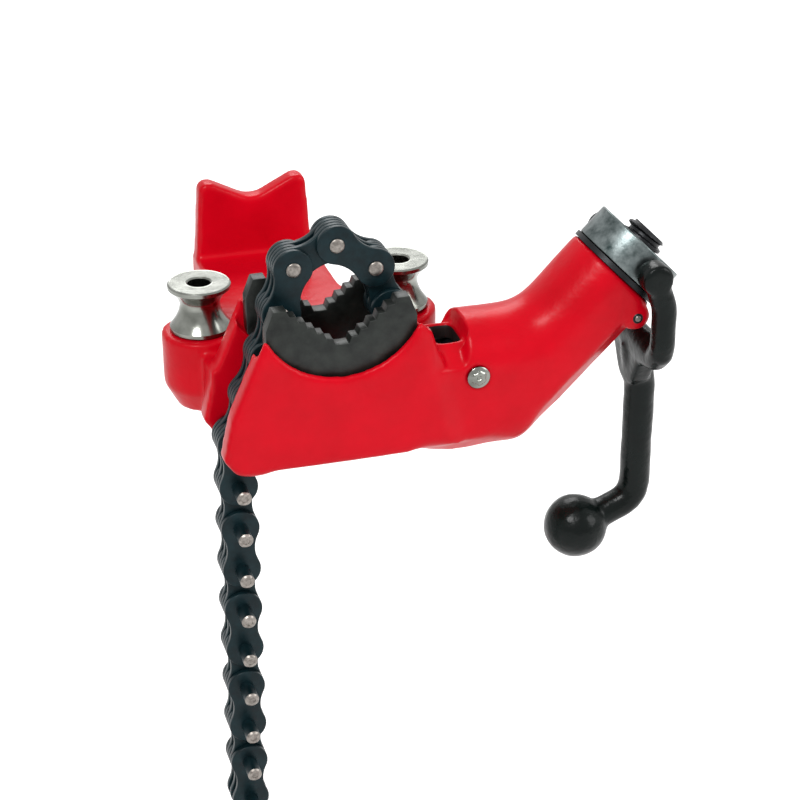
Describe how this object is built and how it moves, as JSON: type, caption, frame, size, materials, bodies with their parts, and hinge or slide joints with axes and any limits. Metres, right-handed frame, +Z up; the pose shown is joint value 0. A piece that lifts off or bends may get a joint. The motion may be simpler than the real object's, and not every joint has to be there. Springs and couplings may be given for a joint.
{
  "type": "chain pipe vise",
  "caption": "Bench-mounted chain vise for round stock: toothed V jaws, leaf chain drawn by a screw in an angled hollow arm, folding yoke handle, bending spools and a rear V rest.",
  "frame": {"origin": "On the face that rests on the bench, in the chain's middle plane, below the middle of the V jaws.", "axes": "+Z is up, away from the bench. +Y runs from the jaws to the rear rest, along the held stock. +X runs from the jaws to the screw and handle."},
  "size_m": [0.2701, 0.2482, 0.3562],
  "materials": {
    "red_paint": "glossy red enamel over a sand-cast surface",
    "jaw_steel": "hardened and blackened steel",
    "dark_steel": "black-oxide steel",
    "chain_steel": "oiled blue-black steel",
    "turned_zinc": "turned steel with bright zinc plating",
    "zinc": "zinc-plated steel with a mottled sheen",
    "black_iron": "black semi-gloss paint over cast iron"
  },
  "bodies": {
    "frame": {"base_casting": "red_paint", "jaw_front": "jaw_steel", "jaw_rear": "jaw_steel", "jaw_screws": "jaw_steel", "left_spool_bolt": "dark_steel", "right_spool_bolt": "dark_steel", "guide_pin": "zinc", "guide_bush": "dark_steel", "thrust_washer": "dark_steel", "anchor_link_inner": "chain_steel", "held_link_01": "chain_steel", "held_link_02": "chain_steel", "held_link_03": "chain_steel", "held_link_04": "chain_steel", "held_link_05": "chain_steel", "held_link_06": "chain_steel", "held_link_07": "chain_steel", "held_link_08": "chain_steel", "held_link_09": "chain_steel", "held_link_10": "chain_steel"},
    "nut": {"nut": "zinc"},
    "screw": {"draw_screw": "dark_steel", "anchor_link_outer": "chain_steel"},
    "handle": {"handle": "black_iron"},
    "left_spool": {"left_spool": "turned_zinc"},
    "right_spool": {"right_spool": "turned_zinc"},
    "guide_roller": {"guide_roller": "dark_steel"},
    "tail_link_01": {"tail_link_01": "chain_steel"},
    "tail_link_02": {"tail_link_02": "chain_steel"},
    "tail_link_03": {"tail_link_03": "chain_steel"},
    "tail_link_04": {"tail_link_04": "chain_steel"},
    "tail_link_05": {"tail_link_05": "chain_steel"},
    "tail_link_06": {"tail_link_06": "chain_steel"},
    "tail_link_07": {"tail_link_07": "chain_steel"},
    "tail_link_08": {"tail_link_08": "chain_steel"},
    "tail_link_09": {"tail_link_09": "chain_steel"}
  },
  "joints": [
    {"name": "nut_turn", "type": "hinge", "parent": "frame", "child": "nut", "pos_m": [0.1675, 0, 0.0863], "axis": [0.7071, 0, 0.7071], "range_deg": [-135, 90]},
    {"name": "screw_travel", "type": "slide", "parent": "frame", "child": "screw", "axis": [0.7071, 0, 0.7071], "range_m": [-0.0016, 0.0021]},
    {"name": "handle_fold", "type": "hinge", "parent": "nut", "child": "handle", "pos_m": [0.1675, 0, 0.0863], "axis": [0, -1, 0], "range_deg": [0, 150]},
    {"name": "left_spool_spin", "type": "hinge", "parent": "frame", "child": "left_spool", "pos_m": [-0.056, 0.062, 0.058], "axis": [0, 0, 1], "continuous": true},
    {"name": "right_spool_spin", "type": "hinge", "parent": "frame", "child": "right_spool", "pos_m": [0.056, 0.062, 0.058], "axis": [0, 0, 1], "continuous": true},
    {"name": "guide_roller_spin", "type": "hinge", "parent": "frame", "child": "guide_roller", "pos_m": [0.074, 0, 0.037], "axis": [0, 1, 0], "continuous": true},
    {"name": "tail_hinge_01", "type": "hinge", "parent": "frame", "child": "tail_link_01", "pos_m": [-0.05307, 0, 0.00663], "axis": [0, 1, 0], "range_deg": [-15, 15]},
    {"name": "tail_hinge_02", "type": "hinge", "parent": "tail_link_01", "child": "tail_link_02", "pos_m": [-0.05307, 0, -0.01877], "axis": [0, 1, 0], "range_deg": [-15, 15]},
    {"name": "tail_hinge_03", "type": "hinge", "parent": "tail_link_02", "child": "tail_link_03", "pos_m": [-0.05307, 0, -0.04417], "axis": [0, 1, 0], "range_deg": [-15, 15]},
    {"name": "tail_hinge_04", "type": "hinge", "parent": "tail_link_03", "child": "tail_link_04", "pos_m": [-0.05307, 0, -0.06957], "axis": [0, 1, 0], "range_deg": [-15, 15]},
    {"name": "tail_hinge_05", "type": "hinge", "parent": "tail_link_04", "child": "tail_link_05", "pos_m": [-0.05307, 0, -0.09497], "axis": [0, 1, 0], "range_deg": [-15, 15]},
    {"name": "tail_hinge_06", "type": "hinge", "parent": "tail_link_05", "child": "tail_link_06", "pos_m": [-0.05307, 0, -0.12037], "axis": [0, 1, 0], "range_deg": [-15, 15]},
    {"name": "tail_hinge_07", "type": "hinge", "parent": "tail_link_06", "child": "tail_link_07", "pos_m": [-0.05307, 0, -0.14577], "axis": [0, 1, 0], "range_deg": [-15, 15]},
    {"name": "tail_hinge_08", "type": "hinge", "parent": "tail_link_07", "child": "tail_link_08", "pos_m": [-0.05307, 0, -0.17117], "axis": [0, 1, 0], "range_deg": [-15, 15]},
    {"name": "tail_hinge_09", "type": "hinge", "parent": "tail_link_08", "child": "tail_link_09", "pos_m": [-0.05307, 0, -0.19657], "axis": [0, 1, 0], "range_deg": [-15, 15]}
  ],
  "couplings": [
    {"joint": "screw_travel", "follows": "nut_turn", "m_per_rad": -0.00079577}
  ]
}
